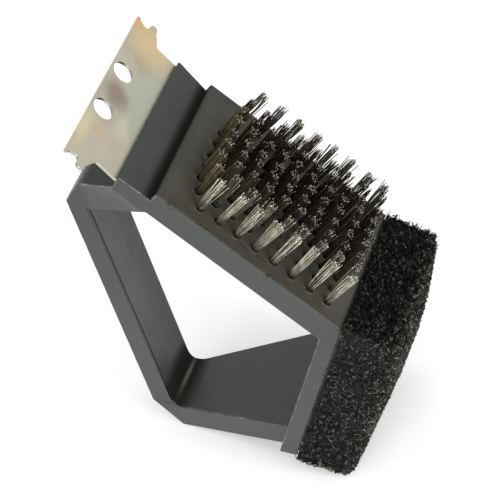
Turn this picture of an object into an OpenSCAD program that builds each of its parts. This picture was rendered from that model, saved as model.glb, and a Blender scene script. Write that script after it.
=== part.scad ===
// Triangular grill brush: wire tufts, a scraper and a scouring pad on one moulded loop-handled body.
// Every piece is drawn in the head's own frame: x runs along the bristle face from the groove
// behind the scraper, y runs across it, z points out of it. stand() then turns the part so that it
// rests on its folded corner and the pad's lower edge.

/* [Head] */
// Width of the head and of the end plate
head_w = 70; // [66:1:74]
// Length of the bristle face
head_l = 83; // [81:1:86]
// Thickness of the head
head_t = 10; // [9.5:0.5:12]

/* [Scraper holder] */
// Length of the holder in front of the groove
holder_l = 14.5; // [13:0.5:16]
// Width of the holder at its front face
holder_w = 74; // [73:1:76]
// Depth of the groove between the holder and the bristle face
groove_depth = 4; // [3.5:0.1:4.5]
// How far the holder's front lip lies below the bristle face
lip_drop = 2.4; // [2.2:0.1:2.6]

/* [Scraper blade] */
// Thickness of the steel
blade_t = 1.2; // [0.8:0.1:1.5]
// Reach of the blade beyond the holder
blade_l = 22; // [21:0.5:24]
// Width of the neck where the blade leaves the holder
neck_w = 72; // [68:1:72]
// Width of the scraping edge
edge_w = 85; // [84:1:88]
// Upward slope of the blade away from the head
blade_rise = 8; // [6:0.5:9]
// Radius of the two round holes
blade_hole_r = 4.4; // [3.5:0.1:5]
// Distance between the centres of the two round holes
blade_hole_gap = 23.4; // [20:0.2:28]

/* [Loop handle] */
// Width of the grip bar
grip_w = 27; // [24:1:30]
// Thickness of the grip bar
grip_t = 7.6; // [7:0.2:9]
// Length of the grip bar's outer face
grip_l = 97; // [94:1:99]
// Slope of the grip bar against the bristle face
grip_slope = 36.4; // [35:0.2:38]
// Thickness of the end plate
plate_t = 6.5; // [6:0.5:8]
// Length of the end plate's outer face
plate_l = 67.6; // [66:0.2:69]
// Slope of the end plate against the bristle face
plate_slope = 68.7; // [68:0.1:70]
// Length of the bottom web's outer face
web_l = 53.3; // [52:0.1:55]
// Slope of the bottom web against the bristle face
web_slope = 52.3; // [51:0.1:53]
// Thickness of the bottom web
web_t = 9.6; // [9:0.2:10.4]
// Length of the flat that cuts the folded corner
fold_flat = 16; // [15:0.5:17]
// Radius inside the folded corner
fold_r = 6; // [4:0.5:8]

/* [Wire tufts] */
// Number of tufts in each row, from one side of the head to the other
tufts_per_row = [8, 9, 10, 10, 10, 10, 10, 9, 8];
// Distance between neighbouring rows
row_pitch = 6.8; // [6.6:0.1:7]
// Height of the wire above the bristle face
tuft_h = 16.7; // [14:0.1:18]
// Radius of a tuft where it leaves its hole
tuft_root_r = 1.2; // [1:0.1:1.3]
// Radius of a tuft at its tips
tuft_tip_r = 3.1; // [2:0.1:3.2]

/* [Scouring pad] */
// Thickness of the pad
pad_t = 21; // [18:0.5:24]
// Length of the pad
pad_l = 70; // [69:0.5:72]

/* [Hidden] */
rows = len(tufts_per_row);
$fn = 48;
half = head_w / 2;
// How far a cutting shape stands clear of what it cuts
clear = 1;

// Directions in the side view, and helpers for points [x, z]
function along(angle) = [cos(angle), sin(angle)];
function meet(p, dir_p, q, dir_q) =
    p + dir_p * ((q[0] - p[0]) * dir_q[1] - (q[1] - p[1]) * dir_q[0])
        / (dir_p[0] * dir_q[1] - dir_p[1] * dir_q[0]);

grip_dir = along(-grip_slope);
plate_dir = along(-plate_slope);
plate_out = along(90 - plate_slope);
web_dir = along(web_slope);
fold_slope = 4.3;

// Outer corners of the loop, worked round from the head's end
head_end = [head_l, 0];
plate_foot = head_end + plate_l * plate_dir;
fold_low = plate_foot - web_l * web_dir;
fold_high = fold_low + fold_flat * along(180 - fold_slope);
nose_low = fold_high - grip_l * grip_dir;
nose_h = 10.2;
nose_lean = 5;
nose_high = nose_low + nose_h * along(90 + nose_lean);

// Scraper holder: front lip, front foot and groove
groove = [0, -groove_depth];
lip = [-holder_l, -lip_drop];
lip_h = 7.2;
lip_lean = 9;
holder_foot = lip + lip_h * along(-90 + lip_lean);

// Inner corners of the hand hole
plate_in = head_end - plate_t * plate_out;
foot_rake = 1.1;
plate_in_foot = plate_in + (plate_l + foot_rake) * plate_dir;
grip_in = nose_low + grip_t * along(90 - grip_slope);
web_in = fold_low + web_t * along(90 + web_slope);
head_under = [0, -head_t];
neck_root = 1.7;
hole_head = [neck_root, -head_t];
hole_plate = meet(plate_in, plate_dir, head_under, [1, 0]);
hole_web = meet(plate_in, plate_dir, web_in, web_dir);
hole_fold = meet(grip_in, grip_dir, web_in, web_dir);
neck_inner = 5.2;
hole_grip = grip_in + neck_inner * grip_dir;

// The round inside the folded corner, from the web to the grip
fold_steps = 6;
fold_turn = grip_slope + web_slope;
fold_reach = fold_r * tan(fold_turn / 2);
fold_centre = hole_fold + fold_reach * web_dir + fold_r * along(90 + web_slope);
fold_round = [for (i = [0:fold_steps])
    fold_centre + fold_r * along(web_slope - 90 - i * fold_turn / fold_steps)];

// Bottom web: half widths at the fold and at the plate
web_fold_half = grip_w / 2;
web_plate_half = 28.5;

// Scraper blade: outline points on one side, as [reach, half width]
shoulder_u = 9.4;
ear_u = 12.7;
ear_half = 42.1;
lobe_u = 14;
lobe_half = 43.1;
lobe_r = 1.7;
notch_u = 17.4;
notch_half = 42.5;
notch_r = 1.85;
barb_u = 19.4;
barb_half = 41.1;
edge_cut = 0.8;
blade_hole_u = 16.7;
blade_top = 2.0;
tang_l = 16;
tang_w = 62;
tang_hole_r = 2.5;
tang_hole_gap = 36;
tang_hole_u = -6;
tang_gap = 0.05;

// Tufts: the first tuft's x for each row length, and the last tuft's x for every row
tuft_last_x = 74;
tuft_first_x = [16.2, 13.2, 11.6];
anchor_l = 2.3;
anchor_t = 0.45;
anchor_h = 1.8;
anchor_z = -6;
anchor_gap = 0.05;
root_depth = 7;
hole_gap = 0.05;
hole_depth = 7.2;

// Scouring pad and the adhesive behind it
adhesive_t = 0.4;
adhesive_inset = 1.5;

// Standing pose: the fold and the pad's lower corner touch the ground
pad_foot = head_end + pad_l * plate_dir + (adhesive_t + pad_t) * plate_out;
pad_top = head_end + (adhesive_t + pad_t) * plate_out;
tilt = atan2(pad_foot[1] - fold_low[1], pad_foot[0] - fold_low[0]);
function turned_x(p) = p[0] * cos(tilt) + p[1] * sin(tilt);
function turned_z(p) = p[1] * cos(tilt) - p[0] * sin(tilt);
centre_x = (turned_x(nose_low) + turned_x(pad_top)) / 2;
ground_z = turned_z(fold_low);

module stand() {
    translate([-centre_x, 0, -ground_z]) rotate([0, tilt, 0]) children();
}

// A side-view outline extruded across the part
module across(width) {
    translate([0, width / 2, 0]) rotate([90, 0, 0]) linear_extrude(width) children();
}

module head_and_plate() {
    across(head_w) polygon([
        [0, 0],
        head_end,
        plate_foot,
        plate_in_foot,
        hole_plate,
        hole_head,
        holder_foot,
        groove
    ]);
}

// The holder's wedge stands a little proud of the neck on both sides
module holder() {
    intersection() {
        across(holder_w) polygon([lip, groove, holder_foot]);
        translate([0, 0, -2 * head_t]) linear_extrude(2 * head_t) polygon([
            [lip[0] - clear, -holder_w / 2],
            [lip[0], -holder_w / 2],
            [groove[0], -half],
            [groove[0], half],
            [lip[0], holder_w / 2],
            [lip[0] - clear, holder_w / 2]
        ]);
    }
}

// The neck narrows from the head's width to the grip's
module neck() {
    wide_end = (holder_foot + hole_head) / 2;
    narrow_end = (nose_high + hole_grip) / 2;
    fall = narrow_end - wide_end;
    intersection() {
        across(head_w) polygon([holder_foot, groove, hole_head, hole_grip, nose_low, nose_high]);
        translate([wide_end[0], 0, wide_end[1]]) rotate([0, -atan2(fall[1], fall[0]), 0])
            linear_extrude(head_w, center = true) polygon([
                [-head_w, -half],
                [0, -half],
                [norm(fall), -grip_w / 2],
                [head_w, -grip_w / 2],
                [head_w, grip_w / 2],
                [norm(fall), grip_w / 2],
                [0, half],
                [-head_w, half]
            ]);
    }
}

module grip() {
    across(grip_w) polygon([nose_low, fold_high, fold_low, hole_fold, hole_grip]);
}

// Moves a plan drawn along the web's outer face into the side view
module on_web_face() {
    translate([fold_low[0], 0, fold_low[1]]) rotate([0, -web_slope, 0]) children();
}

module web() {
    web_in_l = norm(hole_web - hole_fold);
    intersection() {
        across(head_w) polygon(concat([fold_high, fold_low, plate_foot, hole_web], fold_round));
        on_web_face() linear_extrude(2 * web_t + 2 * fold_flat, center = true) polygon([
            [-2 * fold_flat, -web_fold_half],
            [0, -web_fold_half],
            [web_in_l, -web_plate_half],
            [web_l, -web_plate_half],
            [web_l, web_plate_half],
            [web_in_l, web_plate_half],
            [0, web_fold_half],
            [-2 * fold_flat, web_fold_half]
        ]);
    }
}

// Blade coordinates: x out of the holder, y across, z down through the steel
module on_blade() {
    translate([lip[0], 0, lip[1] - blade_top]) rotate([0, 180 + blade_rise, 0]) children();
}

// The tang reaches back into the holder, around two moulded posts
module tang(thickness, grow) {
    difference() {
        translate([-tang_l - grow, -tang_w / 2 - grow, 0])
            cube([tang_l + grow + clear, tang_w + 2 * grow, thickness]);
        for (side = [-1, 1])
            translate([tang_hole_u, side * tang_hole_gap / 2, -clear])
                cylinder(h = thickness + 2 * clear, r = tang_hole_r - grow);
    }
}

module tang_pocket() {
    on_blade() translate([0, 0, -tang_gap]) tang(blade_t + 2 * tang_gap, tang_gap);
}

// One side of the blade, with its shoulder, hooked lobe, round notch and edge corner
module ear() {
    difference() {
        union() {
            linear_extrude(blade_t) polygon([
                [0, -clear],
                [0, neck_w / 2],
                [shoulder_u, neck_w / 2],
                [ear_u, ear_half],
                [barb_u, barb_half],
                [blade_l - edge_cut, edge_w / 2 + edge_cut / 2],
                [blade_l, edge_w / 2],
                [blade_l, -clear]
            ]);
            translate([lobe_u, lobe_half, 0]) cylinder(h = blade_t, r = lobe_r);
        }
        translate([notch_u, notch_half, -clear]) cylinder(h = blade_t + 2 * clear, r = notch_r);
    }
}

// Places its children at every tuft of one row
module at_tufts(row) {
    count = tufts_per_row[row - 1];
    first = tuft_first_x[count - min(tufts_per_row)];
    step = (tuft_last_x - first) / (count - 1);
    for (i = [0:count - 1])
        translate([first + i * step, (row - (rows + 1) / 2) * row_pitch, 0]) children();
}

module body() {
    color("#3f443f") stand() difference() {
        union() {
            head_and_plate();
            holder();
            neck();
            grip();
            web();
        }
        tang_pocket();
        for (row = [1:rows]) at_tufts(row) translate([0, 0, -hole_depth])
            cylinder(h = hole_depth + clear, r = tuft_root_r + hole_gap);
    }
}

module scraper_blade() {
    color("#c9b998") stand() on_blade() difference() {
        union() {
            ear();
            mirror([0, 1, 0]) ear();
            tang(blade_t, 0);
        }
        for (side = [-1, 1])
            translate([blade_hole_u, side * blade_hole_gap / 2, -clear])
                cylinder(h = blade_t + 2 * clear, r = blade_hole_r);
    }
}

// Cone of wire above the face, and a root that folds under the anchor
module tuft() {
    difference() {
        union() {
            cylinder(h = tuft_h, r1 = tuft_root_r, r2 = tuft_tip_r);
            translate([0, 0, -root_depth]) cylinder(h = root_depth, r = tuft_root_r);
        }
        translate([0, 0, anchor_z + anchor_h / 2]) cube([
            anchor_l + 2 * anchor_gap + tuft_root_r,
            anchor_t + 2 * anchor_gap,
            anchor_h + 2 * anchor_gap
        ], center = true);
    }
}

module tuft_row(row) {
    color("#b9b39c") stand() at_tufts(row) tuft();
}

module anchor_row(row) {
    color("#8d8d8a") stand() at_tufts(row) translate([0, 0, anchor_z + anchor_h / 2])
        cube([anchor_l, anchor_t, anchor_h], center = true);
}

// Coordinates on the end plate: x down the plate, z out of it
module on_plate() {
    translate([head_end[0], 0, head_end[1]]) rotate([0, plate_slope, 0]) children();
}

module pad_adhesive() {
    color("#c8c2a8") stand() on_plate() translate([adhesive_inset, -half + adhesive_inset, 0])
        cube([plate_l - 2 * adhesive_inset, head_w - 2 * adhesive_inset, adhesive_t]);
}

module scouring_pad() {
    color("#1d2120") stand() on_plate() translate([0, -half, adhesive_t])
        cube([pad_l, head_w, pad_t]);
}

body();
scraper_blade();
pad_adhesive();
scouring_pad();
for (row = [1:rows]) {
    tuft_row(row);
    anchor_row(row);
}
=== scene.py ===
"""Looks of the grill brush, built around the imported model.

Every shape is drawn in the head's own frame, in millimetres: x runs along the bristle face from the
groove behind the scraper, y runs across it, z points out of it. STAND turns that frame into the
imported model's, where the brush rests on its folded corner and on the scouring pad.
"""
import math
import random
import bmesh
import bpy
from mathutils import Matrix, Vector, geometry, noise


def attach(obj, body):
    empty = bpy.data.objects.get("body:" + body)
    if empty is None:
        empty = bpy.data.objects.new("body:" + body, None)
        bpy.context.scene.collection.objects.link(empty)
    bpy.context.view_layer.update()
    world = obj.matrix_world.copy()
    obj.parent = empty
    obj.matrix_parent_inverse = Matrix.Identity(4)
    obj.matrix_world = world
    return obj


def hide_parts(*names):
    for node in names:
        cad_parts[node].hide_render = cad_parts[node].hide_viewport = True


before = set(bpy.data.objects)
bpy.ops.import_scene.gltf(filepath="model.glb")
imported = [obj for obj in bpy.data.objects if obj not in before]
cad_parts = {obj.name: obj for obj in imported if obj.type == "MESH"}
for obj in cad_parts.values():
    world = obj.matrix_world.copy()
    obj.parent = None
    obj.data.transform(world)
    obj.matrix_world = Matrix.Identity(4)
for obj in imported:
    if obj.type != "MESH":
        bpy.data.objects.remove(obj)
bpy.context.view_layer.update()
MM = 0.001


def add_object(name, data):
    """A new object in the scene."""
    thing = bpy.data.objects.new(name, data)
    bpy.context.scene.collection.objects.link(thing)
    return thing


# ---------------- camera

CAMERA_AZIMUTH = 20.82
CAMERA_ELEVATION = 36.92
CAMERA_ROLL = 8.41
CAMERA_DISTANCE = 1.006
CAMERA_TARGET = Vector((-0.0003, 0.0012, 0.0776))
SENSOR = 36.0
LENS = 194.55


def make_camera():
    """The photograph's camera, from its angles and distance and the point it looks at."""
    a, e = math.radians(CAMERA_AZIMUTH), math.radians(CAMERA_ELEVATION)
    back = Vector((math.sin(a) * math.cos(e), -math.cos(a) * math.cos(e), math.sin(e)))
    level = Vector((0, 0, 1)).cross(back).normalized()
    right = Matrix.Rotation(-math.radians(CAMERA_ROLL), 3, back) @ level
    up = back.cross(right)
    data = bpy.data.cameras.new("camera")
    data.lens, data.sensor_width = LENS, SENSOR
    data.clip_start, data.clip_end = 0.05, 20.0
    camera = add_object("camera", data)
    turn = Matrix((right, up, back)).transposed().to_4x4()
    camera.matrix_world = Matrix.Translation(CAMERA_TARGET + back * CAMERA_DISTANCE) @ turn
    bpy.context.scene.camera = camera


make_camera()

# ---------------- side view, in millimetres

HEAD_HALF = 35.0
HEAD_LENGTH = 83.0
HEAD_THICK = 10.0
NOSE_SLOPE = 95.0
NOSE_HEIGHT = 10.2
HOLDER_SLOPE = 81.0
HOLDER_THICK = 7.2
LIP_OVERHANG = 2.0
HOLDER_OVERHANG = 1.8
PLATE_THICK = 6.5
PLATE_LENGTH = 67.6
PLATE_IN_LENGTH = PLATE_LENGTH + 1.1
PLATE_SLOPE = 68.7
WEB_THICK = 10.1
WEB_INNER_SLOPE = 51.3
WEB_LENGTH = 53.3
WEB_SLOPE = 52.3
WEB_PLATE_HALF = 29.2
WEB_FLARE_LENGTH = 51.5
GRIP_THICK = 7.6
GRIP_LENGTH = 97.0
GRIP_SLOPE = 36.4
GRIP_TOP_HALF = 14.1
GRIP_FOLD_HALF = 13.4
GRIP_HOLE_INSET = 5.2
FOLD_FLAT = 16.0
FOLD_SLOPE = 4.3
FOLD_RADIUS = 6.0
FOLD_NEAR_RADIUS = 3.2
FOLD_TURN = GRIP_SLOPE + WEB_INNER_SLOPE
ARC_STEPS = 8
PAD_LENGTH = 70.0
PAD_THICK = 21.0
ADHESIVE_THICK = 0.4


def heading(angle):
    """Unit vector at an angle in degrees."""
    return Vector((math.cos(math.radians(angle)), math.sin(math.radians(angle))))


def crossing(p, p_way, q, q_way):
    """Where two lines cross, each given by a point and a way."""
    d = q - p
    return p + p_way * ((d.x * q_way.y - d.y * q_way.x) / (p_way.x * q_way.y - p_way.y * q_way.x))


GRIP_WAY = heading(-GRIP_SLOPE)
PLATE_WAY = heading(-PLATE_SLOPE)
PLATE_OUT = heading(90 - PLATE_SLOPE)
WEB_WAY = heading(WEB_SLOPE)
WEB_INNER_WAY = heading(WEB_INNER_SLOPE)
WEB_IN = heading(90 + WEB_INNER_SLOPE)
GRIP_IN = heading(90 - GRIP_SLOPE)

HEAD_END = Vector((HEAD_LENGTH, 0.0))
PLATE_FOOT = HEAD_END + PLATE_WAY * PLATE_LENGTH
FOLD_LOW = PLATE_FOOT - WEB_WAY * WEB_LENGTH
FOLD_HIGH = FOLD_LOW + heading(180 - FOLD_SLOPE) * FOLD_FLAT
NOSE_LOW = FOLD_HIGH - GRIP_WAY * GRIP_LENGTH
NOSE_HIGH = NOSE_LOW + heading(NOSE_SLOPE) * NOSE_HEIGHT
GROOVE = Vector((0.0, -4.0))
LIP = Vector((-14.5, -2.4))
HOLDER_FOOT = LIP + heading(-HOLDER_SLOPE) * HOLDER_THICK

PLATE_IN = HEAD_END - PLATE_OUT * PLATE_THICK
PLATE_IN_FOOT = PLATE_IN + PLATE_WAY * PLATE_IN_LENGTH
GRIP_INNER = NOSE_LOW + GRIP_IN * GRIP_THICK
WEB_INNER = FOLD_LOW + WEB_IN * WEB_THICK
HOLE_HEAD = Vector((1.7, -HEAD_THICK))
HOLE_PLATE = crossing(PLATE_IN, PLATE_WAY, HOLE_HEAD, Vector((1.0, 0.0)))
HOLE_WEB = crossing(PLATE_IN, PLATE_WAY, WEB_INNER, WEB_INNER_WAY)
HOLE_FOLD = crossing(GRIP_INNER, GRIP_WAY, WEB_INNER, WEB_INNER_WAY)
HOLE_GRIP = GRIP_INNER + GRIP_WAY * GRIP_HOLE_INSET

PAD_FOOT = HEAD_END + PLATE_WAY * PAD_LENGTH + PLATE_OUT * (ADHESIVE_THICK + PAD_THICK)
PAD_TOP = HEAD_END + PLATE_OUT * (ADHESIVE_THICK + PAD_THICK)
TILT = math.atan2(PAD_FOOT.y - FOLD_LOW.y, PAD_FOOT.x - FOLD_LOW.x)


def turned(p):
    """A point of the side view as it stands on the ground."""
    return Vector((
        p.x * math.cos(TILT) + p.y * math.sin(TILT),
        p.y * math.cos(TILT) - p.x * math.sin(TILT),
    ))


def fold_centre(radius):
    """Middle of a round inside the fold."""
    reach = radius * math.tan(math.radians(FOLD_TURN / 2))
    return HOLE_FOLD + WEB_INNER_WAY * reach + WEB_IN * radius


def fold_arc(radius=FOLD_RADIUS):
    """Names and places of the corners round the inside of the fold, from the web to the grip."""
    centre = fold_centre(radius)
    return [
        (f"arc{i}", centre + heading(WEB_INNER_SLOPE - 90 - i * FOLD_TURN / ARC_STEPS) * radius)
        for i in range(ARC_STEPS + 1)
    ]


def web_half(point):
    """Half the web's width at a point of the side view."""
    along = max((point - FOLD_LOW).dot(WEB_WAY), 0.0)
    return GRIP_FOLD_HALF + (WEB_PLATE_HALF - GRIP_FOLD_HALF) * along / WEB_FLARE_LENGTH


CENTRE_X = (turned(NOSE_LOW).x + turned(PAD_TOP).x) / 2
GROUND_Z = turned(FOLD_LOW).y
STAND = (
    Matrix.Translation(Vector((-CENTRE_X, 0, -GROUND_Z)) * MM)
    @ Matrix.Rotation(TILT, 4, "Y")
    @ Matrix.Scale(MM, 4)
)

BLADE_RISE = 8.0
BLADE_DROP = 2.0
BLADE_PLACE = (
    STAND
    @ Matrix.Translation((LIP.x, 0, LIP.y - BLADE_DROP))
    @ Matrix.Rotation(math.radians(BLADE_RISE), 4, "Y")
)

# Details of the grip's inner face
GRIP_SEAM_INSET = 0.45
GRIP_SEAM_WIDTH = 0.8
GRIP_SEAM_DEPTH = 1.4
GRIP_HOLLOW_Y = 1.6
GRIP_HOLLOW_DEPTH = 1.1

# Painted reflection, a pale streak inside the fold: its angle and width in degrees, its middle and reach
# across the part
STREAK_ANGLE = 82.0
STREAK_WIDTH = 12.0
STREAK_MIDDLE = 2.0
STREAK_REACH = 17.0

# Layout of the wire tufts
TUFTS_PER_ROW = [8, 9, 10, 10, 10, 10, 10, 9, 8]
FIRST_TUFT_X = {8: 16.2, 9: 13.2, 10: 11.6}
LAST_TUFT_X = 74.0
ROW_PITCH = 6.8
TUFT_HEIGHT = 16.7


def tuft_places(row):
    """Where each tuft of a row (from 0) leaves the head."""
    count = TUFTS_PER_ROW[row]
    first = FIRST_TUFT_X[count]
    y = (row - (len(TUFTS_PER_ROW) - 1) / 2) * ROW_PITCH
    return [Vector((first + i * (LAST_TUFT_X - first) / (count - 1), y, 0.0)) for i in range(count)]


# ---------------- helpers

def add_piece(name, bm, material, place=STAND):
    """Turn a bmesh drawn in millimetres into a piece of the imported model's frame that rides on the body."""
    mesh = bpy.data.meshes.new(name)
    bm.normal_update()
    bm.to_mesh(mesh)
    bm.free()
    mesh.transform(place)
    for polygon in mesh.polygons:
        polygon.use_smooth = True
    mesh.materials.append(material)
    piece = add_object(name, mesh)
    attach(piece, "root")
    return piece


def add_weighted_normals(piece):
    """Shade a piece's flat faces flat, beside its rounded edges. Returns the modifier."""
    normals = piece.modifiers.new("flat faces", "WEIGHTED_NORMAL")
    normals.mode = "FACE_AREA"
    return normals


def join_loops(bm, one, other):
    """Faces between two closed loops of as many verts."""
    for i in range(len(one)):
        j = (i + 1) % len(one)
        bm.faces.new([one[i], one[j], other[j], other[i]])


def tube(bm, path, radii, sides, tints=None, twist=0.0):
    """A thin tube, closed flat at both ends, with a radius and perhaps a tint at each point of its path."""
    loops = []
    for i, (point, radius) in enumerate(zip(path, radii)):
        way = (path[min(i + 1, len(path) - 1)] - path[max(i - 1, 0)]).normalized()
        side = way.orthogonal().normalized()
        other = way.cross(side)
        turns = [2 * math.pi * k / sides + twist * i for k in range(sides)]
        ways = [side * math.cos(t) + other * math.sin(t) for t in turns]
        loops.append([bm.verts.new(point + way * radius) for way in ways])
    for lower, upper in zip(loops, loops[1:]):
        join_loops(bm, lower, upper)
    bm.faces.new(list(reversed(loops[0])))
    bm.faces.new(loops[-1])
    if tints:
        layer = bm.verts.layers.float_color[0]
        for loop, tint in zip(loops, tints):
            for vert in loop:
                vert[layer] = (*tint, 1.0)


def ring_edges(first, count):
    """Pairs of indices round a closed outline of count points, of which one is first."""
    return [(first + i, first + (i + 1) % count) for i in range(count)]


def triangulated(flat, edges):
    """Triangles over flat points, between edges. Returns points, triangles, their middles, and origins."""
    points, _, triangles, origins, _, _ = geometry.delaunay_2d_cdt(flat, edges, [], 1, 1e-5)
    middles = [sum((points[i] for i in triangle), Vector((0, 0))) / 3 for triangle in triangles]
    return points, triangles, middles, origins


def eased(value, start, end):
    """0 below start, 1 above end, and smooth between them."""
    t = min(max((value - start) / (end - start), 0.0), 1.0)
    return t * t * (3 - 2 * t)


def new_material(name):
    """A new material. Returns it, its node tree and its shader node."""
    material = bpy.data.materials.new(name)
    material.use_nodes = True
    tree = material.node_tree
    return material, tree, tree.nodes["Principled BSDF"]


def feed(tree, node, inputs):
    """Set a node's inputs, by name or number, from sockets or to plain values."""
    for key, value in inputs.items():
        if isinstance(value, bpy.types.NodeSocket):
            tree.links.new(value, node.inputs[key])
        else:
            node.inputs[key].default_value = value


def add_node(tree, kind, inputs, **settings):
    """Add a shader node. Returns its outputs."""
    node = tree.nodes.new("ShaderNode" + kind)
    for key, value in settings.items():
        setattr(node, key, value)
    feed(tree, node, inputs)
    return node.outputs


def maths(tree, operation, *values):
    """A sum on sockets and numbers. Returns its socket."""
    return add_node(tree, "Math", dict(enumerate(values)), operation=operation)["Value"]


def vector_maths(tree, operation, *values):
    """A sum on sockets and vectors. Returns its vector socket, or its value socket if it gives a number."""
    output = "Value" if operation in ("DISTANCE", "DOT_PRODUCT", "LENGTH") else "Vector"
    return add_node(tree, "VectorMath", dict(enumerate(values)), operation=operation)[output]


def part_of(tree, vector, axis):
    """One component of a vector socket."""
    return add_node(tree, "SeparateXYZ", {"Vector": vector})[axis]


def drawn_at(tree, place=STAND):
    """Where a point was in the frame that its piece was drawn in, in metres. Returns a vector socket."""
    back = (place @ Matrix.Scale(1 / MM, 4)).inverted()
    return add_node(tree, "Mapping", {
        "Vector": add_node(tree, "TexCoord", {})["Object"],
        "Location": back.to_translation(),
        "Rotation": back.to_euler(),
    })["Vector"]


def object_noise(tree, scale, detail=4.0, roughness=0.5, stretch=(1, 1, 1)):
    """A noise texture over the part. Returns its factor socket."""
    where = add_node(tree, "Mapping", {"Vector": drawn_at(tree), "Scale": stretch})["Vector"]
    inputs = {"Vector": where, "Scale": scale, "Detail": detail, "Roughness": roughness}
    return add_node(tree, "TexNoise", inputs)["Fac"]


def ramp(tree, source, stops):
    """Colour ramp from (position, colour) stops. Returns its colour socket."""
    node = tree.nodes.new("ShaderNodeValToRGB")
    elements = node.color_ramp.elements
    while len(elements) < len(stops):
        elements.new(0.5)
    for element, (position, colour) in zip(elements, stops):
        element.position = position
        element.color = (*colour, 1.0)
    tree.links.new(source, node.inputs["Fac"])
    return node.outputs["Color"]


def grey(value):
    return (value, value, value)


def grey_ramp(tree, source, *stops):
    """Ramp from (position, value) stops. Returns its socket."""
    return ramp(tree, source, [(position, grey(value)) for position, value in stops])


def bumped(tree, *layers):
    """Chain of bumps from (height socket, strength, distance in metres). Returns its normal socket."""
    normal = {}
    for height, strength, distance in layers:
        inputs = {"Height": height, "Strength": strength, "Distance": distance, **normal}
        normal = {"Normal": add_node(tree, "Bump", inputs)["Normal"]}
    return normal["Normal"]


# ---------------- materials

# A Mix node's sockets for colours
MIX_FACTOR, MIX_A, MIX_B, MIX_RESULT = 0, 6, 7, 2


def near_line(tree, line, start, end):
    """1 within start of a line that runs straight across the part, easing to 0 at end, in millimetres."""
    flat = vector_maths(tree, "MULTIPLY", drawn_at(tree), (1, 0, 1))
    distance = vector_maths(tree, "DISTANCE", flat, (line.x * MM, 0, line.y * MM))
    return faded(tree, distance, start * MM, end * MM)


def faded(tree, source, start, end):
    """1 where the source is at start, easing to 0 at end."""
    inputs = {"Value": source, "From Min": start, "From Max": end, "To Min": 1.0, "To Max": 0.0}
    return add_node(tree, "MapRange", inputs, interpolation_type="SMOOTHSTEP")["Result"]


def product(tree, *sources):
    """Product of several factor sockets."""
    result = sources[0]
    for source in sources[1:]:
        result = maths(tree, "MULTIPLY", result, source)
    return result


def blend(tree, factor, below, colour, amount=1.0):
    """Mix a plain colour over a colour socket, by a factor socket times an amount."""
    share = maths(tree, "MULTIPLY", factor, amount)
    inputs = {MIX_FACTOR: share, MIX_A: below, MIX_B: (*colour, 1.0)}
    return add_node(tree, "Mix", inputs, data_type="RGBA")[MIX_RESULT]


def facing(tree, start, end):
    """1 where a normal's part across the part's width is start, easing to 0 where it is end."""
    normal = add_node(tree, "NewGeometry", {})["Normal"]
    return faded(tree, maths(tree, "ABSOLUTE", part_of(tree, normal, "Y")), start, end)


def facing_sideways(tree):
    """1 on faces that run across the part, 0 on its near and far sides."""
    return facing(tree, 0.25, 0.6)


def facing_ends(tree):
    """1 on the near and far ends of a piece, 0 on the faces that run across it."""
    return facing(tree, 0.6, 0.25)


def near_sides(tree):
    """1 along the near and far edges of the head, easing to 0 towards its middle."""
    across = maths(tree, "ABSOLUTE", part_of(tree, drawn_at(tree), "Y"))
    return faded(tree, across, (HEAD_HALF - 1.0) * MM, (HEAD_HALF - 12.0) * MM)


def fold_reflection(tree):
    """Painted reflection: a pale streak along the middle of the round inside the fold."""
    centre = fold_centre(FOLD_RADIUS)
    offset = vector_maths(tree, "SUBTRACT", drawn_at(tree), (centre.x * MM, 0, centre.y * MM))
    angle = maths(tree, "ARCTAN2", part_of(tree, offset, "Z"), part_of(tree, offset, "X"))
    turn = maths(tree, "ABSOLUTE", maths(tree, "ADD", angle, math.radians(STREAK_ANGLE)))
    aside = maths(tree, "SUBTRACT", part_of(tree, offset, "Y"), STREAK_MIDDLE * MM)
    return product(
        tree,
        faded(tree, turn, 0.0, math.radians(STREAK_WIDTH)),
        faded(tree, maths(tree, "ABSOLUTE", aside), 0.0, STREAK_REACH * MM),
        near_line(tree, centre, FOLD_RADIUS, FOLD_RADIUS + 1.5),
    )


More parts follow.
